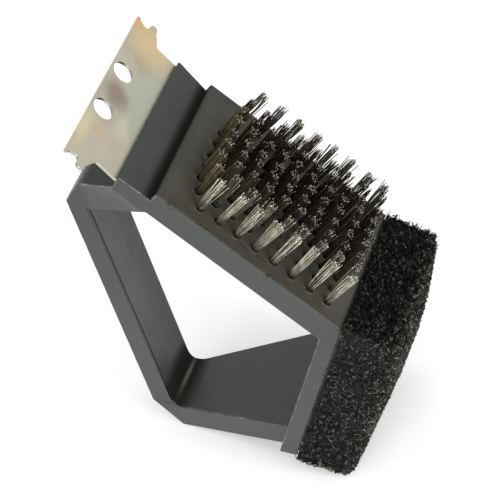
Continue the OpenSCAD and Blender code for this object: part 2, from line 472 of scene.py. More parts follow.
def plastic_material():
    """Dark grey-green moulded plastic: satin, faintly mottled, with a fine spark-eroded grain. Its colour
    also carries painted shade, painted highlights and a painted reflection, marked below.
    """
    material, tree, shader = new_material("moulded_plastic")
    across = facing_sideways(tree)

    def across_near(line, start, end):
        """near_line, on the faces that run across the part."""
        return product(tree, across, near_line(tree, line, start, end))

    # Where the groove behind the scraper gets painted shade and a rougher finish.
    groove = across_near(GROOVE, 1.2, 5.6)
    # Where the inside of the fold gets painted shade and a rougher finish.
    fold = across_near(HOLE_FOLD - GRIP_WAY * 3.2, 3.4, 10.0)
    # Where the nose's top face gets painted shade and a rougher finish.
    nose_half = (NOSE_HIGH - HOLDER_FOOT).length / 2
    nose = across_near((NOSE_HIGH + HOLDER_FOOT) / 2, nose_half - 0.5, nose_half + 1.0)
    # Where the neck's sides get painted shade.
    neck = near_line(tree, (HOLE_HEAD + NOSE_HIGH) / 2, 5.0, 13.0)
    # Where a painted highlight runs along the parting line in the grip's hollow.
    parting = grip_line(tree, GRIP_HOLLOW_Y, GRIP_HOLLOW_Y, -GRIP_HOLLOW_DEPTH, 0.1, 0.4)
    # Where the seam inside the grip's near edge gets painted shade and a rougher finish.
    inset = GRIP_SEAM_INSET + GRIP_SEAM_WIDTH / 2
    seam = grip_line(tree, inset - GRIP_TOP_HALF, inset - GRIP_FOLD_HALF, -GRIP_SEAM_DEPTH / 2, 0.58, 0.74)
    # The bristle face, which gets painted light among the tufts and painted shade along its long edges.
    top = product(tree, across_near(HEAD_END / 2, 36.0, 46.0), on_top_face(tree))

    colour = ramp(tree, object_noise(tree, 38.0, detail=3.0), [
        (0.30, (0.035, 0.038, 0.033)),
        (0.50, (0.037, 0.041, 0.036)),
        (0.72, (0.040, 0.046, 0.041)),
    ])
    for place, tint, strength in (
        (near_line(tree, FOLD_LOW, 25.0, 125.0), (0.052, 0.056, 0.051), 0.75),
        (across_near(PLATE_IN_FOOT, 30.0, 75.0), (0.080, 0.090, 0.078), 0.5),
        # Painted shade: darker on the nose's top face.
        (nose, (0.021, 0.026, 0.022), 0.8),
        # Painted shade: darker on the neck's sides.
        (product(tree, facing_ends(tree), neck), (0.018, 0.021, 0.018), 0.6),
        # Painted shade: near black in the groove.
        (groove, (0.003, 0.003, 0.002), 0.95),
        # Painted shade: near black round the inside of the fold.
        (fold, (0.004, 0.004, 0.003), 0.9),
        (product(tree, across, on_grip_inner(tree)), (0.095, 0.092, 0.080), 0.62),
        # Painted highlight: a pale line along the parting line.
        (parting, (0.16, 0.16, 0.145), 0.45),
        # Painted shade: near black in the seam.
        (seam, (0.003, 0.003, 0.002), 0.95),
        # Painted light: a lighter, warmer colour over the bristle face, lifting the shade among the tufts.
        (top, (0.066, 0.058, 0.044), 0.8),
        # Painted shade: darker along the bristle face's near and far edges.
        (product(tree, top, near_sides(tree)), (0.034, 0.030, 0.022), 0.6),
        # Painted highlight: a pale line along the body's edges.
        (edge_highlights(tree), (0.19, 0.20, 0.185), 0.8),
        # Painted reflection: the pale streak inside the fold.
        (fold_reflection(tree), (0.30, 0.26, 0.19), 0.7),
    ):
        colour = blend(tree, place, colour, tint, strength)
    sheen = grey_ramp(tree, object_noise(tree, 90.0, detail=5.0, stretch=(1, 3, 1)), (0.3, 0.40), (0.7, 0.48))
    for place, rough in ((groove, 0.95), (seam, 0.95), (nose, 0.8), (fold, 0.95)):
        sheen = blend(tree, place, sheen, grey(rough))
    grain = object_noise(tree, 2600.0, detail=2.0)
    waves = object_noise(tree, 120.0, detail=2.0)
    feed(tree, shader, {
        "Base Color": colour,
        "Roughness": sheen,
        "Specular IOR Level": 0.32,
        "Normal": bumped(tree, (grain, 0.25, 0.00004), (waves, 0.25, 0.00025)),
    })
    return material


def edge_highlight_segments():
    """Edges that get a painted pale highlight, each as two (end, half the part's width there) pairs."""
    fold_end = fold_arc()[0][1]
    return [
        ((HOLDER_FOOT, HEAD_HALF), (NOSE_HIGH, GRIP_TOP_HALF)),
        ((fold_end, web_half(fold_end)), (HOLE_WEB, web_half(HOLE_WEB))),
        ((HOLE_PLATE, HEAD_HALF), (PLATE_IN_FOOT, HEAD_HALF)),
        ((LIP, HEAD_HALF + LIP_OVERHANG), (HOLDER_FOOT, HEAD_HALF + HOLDER_OVERHANG)),
        ((GROOVE, HEAD_HALF), (LIP, HEAD_HALF + LIP_OVERHANG)),
        ((Vector((0.0, 0.0)), HEAD_HALF), (GROOVE, HEAD_HALF)),
        ((GROOVE, HEAD_HALF), (HOLDER_FOOT, HEAD_HALF + 1.0)),
        ((NOSE_HIGH, GRIP_TOP_HALF), (NOSE_LOW, GRIP_TOP_HALF)),
        ((NOSE_LOW, GRIP_TOP_HALF), (FOLD_HIGH, GRIP_FOLD_HALF)),
        ((PLATE_FOOT, web_half(PLATE_FOOT)), (FOLD_LOW, GRIP_FOLD_HALF)),
    ]


def edge_highlights(tree):
    """1 on the narrow pale line of painted highlight along the body's edges, broken up here and there."""
    where = drawn_at(tree)
    across = maths(tree, "ABSOLUTE", part_of(tree, where, "Y"))
    inputs = {"X": part_of(tree, where, "X"), "Y": across, "Z": part_of(tree, where, "Z")}
    folded = add_node(tree, "CombineXYZ", inputs)["Vector"]
    nearest = None
    for one, other in edge_highlight_segments():
        distance = segment_distance(tree, folded, one, other)
        nearest = distance if nearest is None else maths(tree, "MINIMUM", nearest, distance)
    highlight_breaks = object_noise(tree, 260.0, detail=3.0)
    return product(tree, faded(tree, nearest, 0.25 * MM, 0.6 * MM), faded(tree, highlight_breaks, 0.85, 0.3))


def grip_line(tree, top_y, fold_y, height, start, end):
    """1 within start of a line down the grip's inner face, from top_y to fold_y, easing to 0 at end."""
    lift = GRIP_IN * height
    top, low = (HOLE_GRIP + lift, top_y), (fold_arc()[-1][1] + lift, fold_y)
    return faded(tree, segment_distance(tree, drawn_at(tree), top, low), start * MM, end * MM)


def segment_distance(tree, where, one, other):
    """How far a point is from a straight line between two (place in the side view, y) ends."""
    start, end = (Vector((p.x, y, p.y)) * MM for p, y in (one, other))
    run = end - start
    offset = vector_maths(tree, "SUBTRACT", where, start)
    along = vector_maths(tree, "DOT_PRODUCT", offset, run / run.length_squared)
    share = add_node(tree, "Clamp", {"Value": along})["Result"]
    return vector_maths(tree, "DISTANCE", offset, vector_maths(tree, "MULTIPLY", run, share))


def on_grip_inner(tree):
    """1 on the grip's inner face near the neck, easing towards the fold."""
    where = drawn_at(tree)
    height = vector_maths(tree, "DOT_PRODUCT", where, (GRIP_IN.x, 0, GRIP_IN.y))
    above = maths(tree, "ABSOLUTE", maths(tree, "SUBTRACT", height, GRIP_INNER.dot(GRIP_IN) * MM))
    down = vector_maths(tree, "DOT_PRODUCT", where, (GRIP_WAY.x, 0, GRIP_WAY.y))
    start = HOLE_GRIP.dot(GRIP_WAY)
    return product(
        tree,
        faded(tree, above, 2.2 * MM, 3.4 * MM),
        faded(tree, down, (start + 10) * MM, (start + 95) * MM),
    )


def on_top_face(tree):
    """1 on the bristle face, 0 a little below it."""
    depth = maths(tree, "ABSOLUTE", part_of(tree, drawn_at(tree), "Z"))
    return faded(tree, depth, 0.3 * MM, 1.5 * MM)


# Clouds of heat tint on the blade: (reach, place across, size along, size across), colour, strength
BLADE_TINTS = [
    ((6.0, 4.0, 9.0, 26.0), (0.52, 0.58, 0.48), 0.75),
    ((15.0, 0.0, 8.0, 9.5), (0.38, 0.31, 0.25), 0.95),
    ((13.0, 23.0, 7.0, 9.0), (0.51, 0.42, 0.30), 0.6),
    ((12.0, 34.0, 14.0, 14.0), (0.84, 0.66, 0.38), 0.9),
    ((20.0, 41.0, 5.0, 6.0), (0.93, 0.51, 0.25), 0.75),
    ((20.0, -26.0, 5.0, 18.0), (0.89, 0.79, 0.50), 0.7),
    ((14.0, -21.0, 5.0, 7.0), (0.77, 0.55, 0.37), 0.4),
    ((11.0, -30.0, 6.0, 8.0), (0.69, 0.62, 0.52), 0.7),
    ((7.0, -12.0, 4.0, 9.0), (0.82, 0.77, 0.62), 0.5),
]


# How far noise pushes the clouds' edges about, in metres
TINT_PUSH = 0.006


def blade_cloud(tree, where, place):
    """An oval cloud on the blade, from 1 in its middle to 0 at its edge."""
    reach, across, along_size, across_size = place
    offset = vector_maths(tree, "SUBTRACT", where, (-reach * MM, across * MM, 0))
    scale = (1 / (along_size * MM), 1 / (across_size * MM), 0)
    share = vector_maths(tree, "LENGTH", vector_maths(tree, "MULTIPLY", offset, scale))
    return faded(tree, share, 0.15, 1.1)


def blade_material():
    """Stainless steel with a heat tint: champagne, with golden, grey-brown and blue-green clouds."""
    material, tree, shader = new_material("tinted_steel")
    where = drawn_at(tree, BLADE_PLACE)
    swirl = add_node(tree, "TexNoise", {"Vector": where, "Scale": 70.0, "Detail": 3.0})["Color"]
    spread, back = (2 * TINT_PUSH, 2 * TINT_PUSH, 0), (-TINT_PUSH, -TINT_PUSH, 0)
    warped = vector_maths(tree, "ADD", where, vector_maths(tree, "MULTIPLY_ADD", swirl, spread, back))
    cloud = object_noise(tree, 42.0, detail=3.0, roughness=0.45)
    colour = ramp(tree, cloud, [(0.32, (0.57, 0.525, 0.41)), (0.68, (0.67, 0.635, 0.505))])
    for place, tint, strength in BLADE_TINTS:
        colour = blend(tree, blade_cloud(tree, warped, place), colour, tint, strength)
    colour = blend(tree, facing_ends(tree), colour, (0.36, 0.35, 0.31), 0.85)
    brushed = object_noise(tree, 900.0, detail=3.0, stretch=(0.05, 1, 1))
    feed(tree, shader, {
        "Base Color": colour,
        "Metallic": 1.0,
        "Roughness": grey_ramp(tree, brushed, (0.3, 0.36), (0.7, 0.48)),
        "Normal": bumped(tree, (brushed, 0.15, 0.00003)),
    })
    return material


def tinted(tree, colour, attribute):
    """Multiply a colour socket by the mesh's own tint."""
    tint = add_node(tree, "Attribute", {}, attribute_name=attribute)["Color"]
    inputs = {MIX_FACTOR: 1.0, MIX_A: tint, MIX_B: colour}
    return add_node(tree, "Mix", inputs, data_type="RGBA", blend_type="MULTIPLY")[MIX_RESULT]


def wire_material():
    """Drawn steel wire, coloured by the mesh's tint: painted light on the outside of the brush, painted
    highlights on the cut tips, and painted shade inside it.
    """
    material, tree, shader = new_material("bristle_wire")
    tarnish = object_noise(tree, 420.0, detail=4.0)
    spots = ramp(tree, tarnish, [(0.34, (0.50, 0.46, 0.38)), (0.62, (1.0, 1.0, 0.98))])
    drawn = object_noise(tree, 1500.0, detail=2.0)
    feed(tree, shader, {
        "Base Color": tinted(tree, spots, "wire_tint"),
        "Metallic": 0.9,
        "Roughness": grey_ramp(tree, drawn, (0.3, 0.30), (0.7, 0.48)),
        "Normal": bumped(tree, (drawn, 0.2, 0.00003)),
    })
    return material


def anchor_material():
    """Flat punched steel of the clips that hold the tufts."""
    material, tree, shader = new_material("anchor_steel")
    stain = object_noise(tree, 600.0, detail=3.0)
    feed(tree, shader, {
        "Base Color": ramp(tree, stain, [(0.3, (0.30, 0.29, 0.27)), (0.7, (0.50, 0.49, 0.46))]),
        "Metallic": 1.0,
        "Roughness": 0.4,
        "Normal": bumped(tree, (stain, 0.2, 0.00003)),
    })
    return material


def fibre_material(name, dark, light, rough, tint=None):
    """Non-woven nylon fibre: near black, mottled lighter grey-green by a noise; where a tint is given, it
    carries painted glints and a painted sheen.
    """
    material, tree, shader = new_material(name)
    grit = object_noise(tree, 700.0, detail=5.0, roughness=0.65)
    colour = ramp(tree, grit, [(0.38, dark), (0.62, light)])
    if tint:
        colour = tinted(tree, colour, tint)
    speck = object_noise(tree, 2200.0, detail=2.0)
    feed(tree, shader, {
        "Base Color": colour,
        "Roughness": grey_ramp(tree, speck, (0.35, rough), (0.7, rough + 0.25)),
        "Specular IOR Level": 0.22,
        "Normal": bumped(tree, (grit, 0.6, 0.0003), (speck, 0.5, 0.0001)),
    })
    return material


def adhesive_material():
    """Thin layer of dried contact glue."""
    material, tree, shader = new_material("dried_glue")
    smear = object_noise(tree, 300.0, detail=4.0)
    feed(tree, shader, {
        "Base Color": ramp(tree, smear, [(0.3, (0.10, 0.10, 0.08)), (0.7, (0.20, 0.19, 0.15))]),
        "Roughness": 0.6,
        "Normal": bumped(tree, (smear, 0.4, 0.0002)),
    })
    return material


PLASTIC = plastic_material()
TINTED_STEEL = blade_material()
WIRE = wire_material()
ANCHOR = anchor_material()
PAD_CORE = fibre_material("pad_core", (0.0010, 0.0012, 0.0010), (0.010, 0.011, 0.010), 0.75)
PAD_FIBRE = fibre_material("pad_fibre", (0.30, 0.32, 0.29), (0.95, 1.0, 0.92), 0.32, "fibre_tint")
GLUE = adhesive_material()

# ---------------- body

EDGE_ROUND = 0.7
CREASE_ANGLE = 24.0
PARTING_WEIGHT = 0.25
SEAM_WEIGHT = 0.12
TOP_SIDE_WEIGHT = 2.0
TOP_END_WEIGHT = 0.9
EDGE_WEIGHT = 0.8
NECK_CUTS = 10
NEAR = 0.01

# Lines across the grip's inner face: (share of the way to the fold, share of the full relief)
GRIP_STATIONS = [(0.0, 0.0), (0.02, 1.0), (0.86, 1.0), (1.0, 0.0)]

# The bristle face: its flat panel's inset, and the (radius, height) of the rings round each tuft's hole
PANEL_INSET = 2.4
HOLE_SIDES = 16
HOLE_RINGS = [(2.2, 0.0), (1.75, 0.5), (1.4, 0.15), (1.3, -2.2)]
RIM_RING = 1
RIM_WOBBLE = 0.35

FLASH_STEP = 0.7
FLASH_LEAST = 0.2
FLASH_LUMP = 1.5
FLASH_SIDES = 5
FLASH_TWIST = 0.3


class Cage:
    """Named corner points of a shape that is the same on both sides, and the faces between them."""

    def __init__(self):
        self.bm = bmesh.new()
        self.corners = {}

    def corner(self, name, point, half, near=None):
        """A pair of corners, name- on the near side and name+ on the far side."""
        for sign, y, p in (("-", -half, near or point), ("+", half, point)):
            self.corners[name + sign] = self.bm.verts.new((p.x, y, p.y))

    def face(self, names):
        """A face from the names of its corners, or from verts."""
        return self.bm.faces.new([self.corners[n] if isinstance(n, str) else n for n in names])

    def side_face(self, sign, *names):
        """A face on one side, from corners named without their sign, or from verts."""
        return self.face([n + sign if isinstance(n, str) else n for n in names])

    def across(self, *names):
        """A face that runs from the near side to the far side, from its names along the near side."""
        self.face([n + "-" for n in names] + [n + "+" for n in reversed(names)])

    def both_sides(self, *names):
        """A face on the near side and its mirror image on the far side."""
        self.side_face("-", *names)
        self.side_face("+", *reversed(names))


def grip_inner_face(cage, low_name):
    """The grip's inner face: hollow along the parting line, with a fine seam inside its near edge.

    Returns its lines of verts across the grip, of which the last ends in the cage's low_name corners.
    """
    start, far_end, near_end = HOLE_GRIP, fold_arc()[-1][1], fold_arc(FOLD_NEAR_RADIUS)[-1][1]
    lines = []
    for share, depth in GRIP_STATIONS:
        half = GRIP_TOP_HALF + (GRIP_FOLD_HALF - GRIP_TOP_HALF) * share

        def spot(y, relief=0.0):
            """A vert on this line across the grip, at y from its middle and sunk by a relief."""
            end = far_end.lerp(near_end, (half - y) / (2 * half))
            p = start.lerp(end, share) - GRIP_IN * (relief * depth)
            return cage.bm.verts.new((p.x, y, p.y))

        if share in (0.0, 1.0):
            name = low_name if share else "hole_grip"
            near, far = cage.corners[name + "-"], cage.corners[name + "+"]
        else:
            near, far = spot(-half), spot(half)
        lines.append([
            near,
            spot(GRIP_SEAM_INSET - half),
            spot(GRIP_SEAM_INSET + GRIP_SEAM_WIDTH / 2 - half, GRIP_SEAM_DEPTH),
            spot(GRIP_SEAM_INSET + GRIP_SEAM_WIDTH - half),
            spot(GRIP_HOLLOW_Y, GRIP_HOLLOW_DEPTH),
            far,
        ])
    for upper, lower in zip(lines, lines[1:]):
        for i in range(len(upper) - 1):
            cage.bm.faces.new([upper[i], upper[i + 1], lower[i + 1], lower[i]])
    return lines


def tuft_hole(bm, centre):
    """Rings of verts round a tuft's hole, from the face over its uneven rim and down its wall."""
    rings = []
    for index, (radius, height) in enumerate(HOLE_RINGS):
        ring = []
        for i in range(HOLE_SIDES):
            angle = 2 * math.pi * i / HOLE_SIDES
            way = Vector((math.cos(angle), math.sin(angle), 0))
            wobble = noise.noise(centre * 0.37 + way * 1.1)
            lump = max(0.0, noise.noise(centre * 0.61 - way * 0.9) + 0.15)
            r = radius + (RIM_WOBBLE * wobble if index <= RIM_RING else 0.0)
            z = height * (0.35 + 2.2 * lump) if index == RIM_RING else height
            ring.append(bm.verts.new(centre + way * r + Vector((0, 0, z))))
        rings.append(ring)
    return rings


def in_hole(point, centre, ring):
    """Does a point lie inside the outermost ring round a tuft's hole?"""
    offset = point - centre.xy
    turn = math.atan2(offset.y, offset.x) % (2 * math.pi)
    i = int(turn / (2 * math.pi) * HOLE_SIDES) % HOLE_SIDES
    a, b = ring[i].co.xy, ring[(i + 1) % HOLE_SIDES].co.xy
    return (b - a).cross(point - a) > 0


def head_top_face(cage):
    """The bristle face, with a small raised and uneven rim round every tuft's hole. Returns its verts."""
    bm = cage.bm
    outer = [cage.corners[n] for n in ("head_start-", "head_end-", "head_end+", "head_start+")]
    panel = []
    for v in outer:
        x, y = v.co.x - HEAD_LENGTH / 2, v.co.y
        inset = Vector((math.copysign(PANEL_INSET, x), math.copysign(PANEL_INSET, y), 0))
        panel.append(bm.verts.new(v.co - inset))
    join_loops(bm, outer, panel)

    centres = [p for row in range(len(TUFTS_PER_ROW)) for p in tuft_places(row)]
    holes = [tuft_hole(bm, centre) for centre in centres]
    source, edges = list(panel), ring_edges(0, len(panel))
    for rings in holes:
        edges += ring_edges(len(source), HOLE_SIDES)
        source += rings[0]
    _, triangles, middles, origins = triangulated([v.co.xy for v in source], edges)
    for triangle, middle in zip(triangles, middles):
        if not any(in_hole(middle, centre, rings[0]) for centre, rings in zip(centres, holes)):
            bm.faces.new([source[origins[i][0]] for i in triangle])
    for rings in holes:
        for one, other in zip(rings, rings[1:]):
            join_loops(bm, one, other)
        bm.faces.new(rings[-1])
    return {v for rings in holes for ring in rings for v in ring} | set(panel)


def body_cage():
    """The body's faces. Returns the cage, its verts round the tuft holes, and lines down the grip."""
    cage = Cage()
    for name, point, half in (
        ("groove", GROOVE, HEAD_HALF),
        ("head_start", Vector((0.0, 0.0)), HEAD_HALF),
        ("head_end", HEAD_END, HEAD_HALF),
        ("plate_foot", PLATE_FOOT, HEAD_HALF),
        ("plate_in_foot", PLATE_IN_FOOT, HEAD_HALF),
        ("web_foot", PLATE_FOOT, web_half(PLATE_FOOT)),
        ("web_in_foot", PLATE_IN_FOOT, web_half(PLATE_IN_FOOT)),
        ("fold_low", FOLD_LOW, GRIP_FOLD_HALF),
        ("fold_high", FOLD_HIGH, GRIP_FOLD_HALF),
        ("nose_low", NOSE_LOW, GRIP_TOP_HALF),
        ("nose_high", NOSE_HIGH, GRIP_TOP_HALF),
        ("neck_foot", HOLDER_FOOT, HEAD_HALF),
        ("holder_foot", HOLDER_FOOT, HEAD_HALF + HOLDER_OVERHANG),
        ("lip", LIP, HEAD_HALF + LIP_OVERHANG),
        ("hole_head", HOLE_HEAD, HEAD_HALF),
        ("hole_plate", HOLE_PLATE, HEAD_HALF),
        ("hole_web", HOLE_WEB, web_half(HOLE_WEB)),
        ("hole_grip", HOLE_GRIP, GRIP_TOP_HALF),
    ):
        cage.corner(name, point, half)
    arc = [name for name, _ in fold_arc()]
    for (name, point), (_, near) in zip(fold_arc(), fold_arc(FOLD_NEAR_RADIUS)):
        cage.corner(name, point, web_half(point), near)

    for run in (
        ("head_start", "groove", "lip", "holder_foot"),
        ("neck_foot", "nose_high", "nose_low", "fold_high", "fold_low", "web_foot"),
        ("hole_head", "hole_plate", "hole_web", *arc[:-1]),
    ):
        for names in zip(run, run[1:]):
            cage.across(*names)
    cage.face(["holder_foot-", "neck_foot-", "neck_foot+", "holder_foot+"])
    cage.face(["head_end-", "plate_foot-", "web_foot-", "web_foot+", "plate_foot+", "head_end+"])
    for names in (
        ("plate_foot", "plate_in_foot", "web_in_foot", "web_foot"),
        ("hole_plate", "plate_in_foot", "web_in_foot", "hole_web"),
        ("groove", "head_start", "head_end", "hole_plate", "hole_head"),
        ("head_end", "plate_foot", "plate_in_foot", "hole_plate"),
        ("lip", "groove", "holder_foot"),
        ("holder_foot", "groove", "neck_foot"),
        ("neck_foot", "groove", "hole_head"),
        ("nose_high", "hole_grip", "nose_low"),
        ("fold_low", arc[0], "hole_web", "web_in_foot", "web_foot"),
    ):
        cage.both_sides(*names)

    lines = grip_inner_face(cage, arc[-1])
    cage.face([arc[-2] + "-", *lines[-1], arc[-2] + "+"])
    cage.face(["hole_head-", *lines[0], "hole_head+"])
    rim_verts = head_top_face(cage)
    neck_sides = []
    for sign, end in (("-", 0), ("+", -1)):
        side_verts = [line[end] for line in lines[1:-1]]
        cage.side_face(sign, "nose_low", "hole_grip", *side_verts, arc[-1], "fold_high")
        cage.side_face(sign, "fold_high", *reversed(arc), "fold_low")
        neck_sides.append(cage.side_face(sign, "neck_foot", "hole_head", "hole_grip", "nose_high"))
    twist_neck_sides(cage, neck_sides)
    return cage, rim_verts, lines


def twist_neck_sides(cage, neck_sides):
    """Cut the neck's sides, which twist from the holder's slope to the nose's, into a fine grid."""
    edges = list(dict.fromkeys(edge for face in neck_sides for edge in face.edges))
    bmesh.ops.subdivide_edges(cage.bm, edges=edges, cuts=NECK_CUTS, use_grid_fill=True)


def is_groove(edge):
    """Is this the sharp bottom of the groove behind the scraper?"""
    return all(abs(v.co.x) < NEAR and abs(v.co.z - GROOVE.y) < NEAR for v in edge.verts)


def is_neck_crease(edge):
    """Is this one of the soft creases where the neck's side runs into the head's or the nose's?"""
    if edge.verts[0].co.y * edge.verts[1].co.y < 0:
        return False
    for a, b, half in ((HOLDER_FOOT, HOLE_HEAD, HEAD_HALF), (NOSE_HIGH, HOLE_GRIP, GRIP_TOP_HALF)):
        run = (b - a).normalized()
        if all(abs(abs(v.co.y) - half) < NEAR and abs((v.co.xz - a).cross(run)) < NEAR for v in edge.verts):
            return True
    return False


def edge_weight(edge):
    """Share of EDGE_ROUND that an edge is rounded by."""
    a, b = (v.co for v in edge.verts)
    if abs(a.z) >= NEAR or abs(b.z) >= NEAR:
        return EDGE_WEIGHT
    return TOP_SIDE_WEIGHT if abs(a.x - b.x) > 1 else TOP_END_WEIGHT


def weigh_edges(bm, rim_verts, lines):
    """Say how round each edge of the body is, and keep the bottom of the groove sharp."""
    relief_verts = {v for line in lines for v in line[1:-1]}
    parting_verts = {line[-2] for line in lines}
    weight = bm.edges.layers.float.new("bevel_weight_edge")
    for edge in bm.edges:
        if parting_verts.issuperset(edge.verts):
            edge[weight] = PARTING_WEIGHT
        elif len(edge.link_faces) != 2 or edge.calc_face_angle() < math.radians(CREASE_ANGLE):
            continue
        elif rim_verts.issuperset(edge.verts) or is_neck_crease(edge):
            continue
        elif relief_verts.intersection(edge.verts):
            edge[weight] = SEAM_WEIGHT
        elif is_groove(edge):
            edge.smooth = False
        else:
            edge[weight] = edge_weight(edge)


def make_body():
    cage, rim_verts, lines = body_cage()
    bmesh.ops.recalc_face_normals(cage.bm, faces=cage.bm.faces)
    weigh_edges(cage.bm, rim_verts, lines)
    body = add_piece("loop_body", cage.bm, PLASTIC)
    bevel = body.modifiers.new("rounded edges", "BEVEL")
    bevel.limit_method = "WEIGHT"
    bevel.width = EDGE_ROUND * MM
    bevel.segments = 4
    bevel.use_clamp_overlap = False
    add_weighted_normals(body).keep_sharp = True
    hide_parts("body")


def make_flash():
    """Crumbs of moulding flash left along the near edges of the head and the holder."""
    bm = bmesh.new()
    corner = EDGE_ROUND * 0.55
    for start, end, y in (
        (Vector((1.5, -corner)), Vector((62.0, -corner)), corner - HEAD_HALF),
        (Vector((-0.3, -3.5)), Vector((-0.1, -0.6)), 0.3 - HEAD_HALF),
        (LIP + Vector((0.2, -0.3)), HOLDER_FOOT + Vector((0.6, 0.4)), -HEAD_HALF - 1.7),
    ):
        count = round((end - start).length / FLASH_STEP)
        path, radii = [], []
        for i in range(count + 1):
            p = start.lerp(end, i / count)
            place = Vector((p.x, y, p.y))
            lump = max(noise.noise(place * 0.33) + 0.5 * noise.noise(place * 1.3) - 0.05, 0.0)
            path.append(place)
            radii.append(FLASH_LEAST + FLASH_LUMP * lump)
        tube(bm, path, radii, FLASH_SIDES, twist=FLASH_TWIST)
    flash = add_piece("mould_flash", bm, PLASTIC)
    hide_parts("body")


make_body()
make_flash()

# ---------------- scraper blade

BLADE_THICK = 1.2
BLADE_REACH = 22.0
BLADE_NECK_HALF = 36.0
BLADE_HOLE_REACH = 16.7
BLADE_HOLE_HALF_GAP = 11.7
BLADE_HOLE_RADIUS = 4.4
BLADE_HOLE_SIDES = 48
BLADE_EDGE_ROUND = 0.14
BLADE_START = -3.0


def arc_points(centre, radius, start, end, steps):
    """Points round part of a circle, angles in degrees."""
    return [centre + heading(start + (end - start) * i / steps) * radius for i in range(steps + 1)]


def blade_outline():
    """One side of the blade as (reach, half width), from the holder to the scraping edge."""
    points = [Vector((BLADE_START, BLADE_NECK_HALF)), Vector((9.4, BLADE_NECK_HALF)), Vector((12.5, 42.3))]
    points += arc_points(Vector((14.1, 43.1)), 1.75, 150, 5, 10)
    points += arc_points(Vector((17.55, 42.35)), 1.75, 195, 318, 9)
    points += [Vector((19.6, 41.2)), Vector((21.2, 43.0)), Vector((BLADE_REACH, 42.6))]
    return points


def make_blade():
    bm = bmesh.new()
    side = blade_outline()
    outline = [Vector((p.x, -p.y)) for p in side] + list(reversed(side))
    flat, edges = list(outline), ring_edges(0, len(outline))
    holes = [Vector((BLADE_HOLE_REACH, s * BLADE_HOLE_HALF_GAP)) for s in (-1, 1)]
    for hole in holes:
        edges += ring_edges(len(flat), BLADE_HOLE_SIDES)
        flat += arc_points(hole, BLADE_HOLE_RADIUS, 0, 360, BLADE_HOLE_SIDES)[:-1]
    points, triangles, middles, _ = triangulated(flat, edges)
    verts = [bm.verts.new((p.x, p.y, 0)) for p in points]
    for triangle, middle in zip(triangles, middles):
        in_plate = inside(middle, outline)
        if in_plate and all((middle - hole).length >= BLADE_HOLE_RADIUS for hole in holes):
            bm.faces.new([verts[i] for i in triangle])
    solid = bmesh.ops.extrude_face_region(bm, geom=list(bm.faces))
    lower = [g for g in solid["geom"] if isinstance(g, bmesh.types.BMVert)]
    bmesh.ops.translate(bm, vec=(0, 0, -BLADE_THICK), verts=lower)
    bmesh.ops.recalc_face_normals(bm, faces=bm.faces)
    bmesh.ops.transform(bm, matrix=Matrix.Scale(-1, 4, Vector((1, 0, 0))), verts=bm.verts)
    bmesh.ops.reverse_faces(bm, faces=bm.faces)
    blade = add_piece("scraper", bm, TINTED_STEEL, BLADE_PLACE)
    bevel = blade.modifiers.new("worn edges", "BEVEL")
    bevel.limit_method = "ANGLE"
    bevel.angle_limit = math.radians(40)
    bevel.width = BLADE_EDGE_ROUND * MM
    bevel.segments = 2
    add_weighted_normals(blade)
    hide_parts("scraper_blade")


def inside(point, outline):
    """Is a point inside a closed outline?"""
    crossings = 0
    for a, b in zip(outline, outline[1:] + outline[:1]):
        if (a.y > point.y) != (b.y > point.y):
            crossings += point.x < a.x + (point.y - a.y) / (b.y - a.y) * (b.x - a.x)
    return crossings % 2 == 1


make_blade()

# ---------------- wire tufts

WIRES_PER_TUFT = 20
STRAY_SHARE = 0.25
WIRE_RADIUS = 0.18
WIRE_SIDES = 5
WIRE_SHARES = (0.0, 0.2, 0.4, 0.6, 0.8, 0.965, 1.0)
ROOT_RADIUS = 0.95
BUNCH_RADIUS = 1.3
STRAY_RADIUS = 2.5
BUNCH_OFFSET = 0.6
ROOT_DEPTH = 1.8
TUFT_LEAN = 0.35
WIRE_CURL = 0.2
WIRE_BOW = 0.25
GOLDEN_ANGLE = 2.39996
BRUSH_HALF = 29.2
# Share of the painted light kept on the far side of the brush: painted shade there.
FAR_LIGHT_SHARE = 0.55
# Bright steel, painted as light on the brush's outer rows.
LIT_SILVER = Vector((0.78, 0.76, 0.65))
OLIVE = Vector((0.26, 0.235, 0.14))
# Dark brown, painted as shade inside the brush.
WIRE_SHADE = Vector((0.16, 0.135, 0.11))
# Pale grey, painted as a highlight on the cut tips.
TIP_GLINT = Vector((0.42, 0.39, 0.38))


def wire_light_and_shade(tip, dice):
    """Colour at each step along a wire: painted light at the brush's sides, weaker on its far side and
    towards the root, olive near the groove, painted shade inside, and a painted highlight on the cut tip.
    """
    brassy = 1 - eased(tip.x, 15.0, 30.0)
    bright = 1 - eased(BRUSH_HALF - abs(tip.y), 3.0, 14.0 - 6.0 * brassy)
    if tip.y > 0:
        bright *= FAR_LIGHT_SHARE
    lit = LIT_SILVER * dice.uniform(0.55, 1.1)
    shaded = WIRE_SHADE.lerp(OLIVE * dice.uniform(0.25, 1.5), brassy)
    tints = []
    for t in WIRE_SHARES:
        side = shaded.lerp(TIP_GLINT * dice.uniform(0.3, 1.3), 0.9 if t == 1.0 else 0.0)
        tints.append(side.lerp(lit * (0.35 + 0.65 * eased(t, 0.0, 0.35)), bright))
    return tints


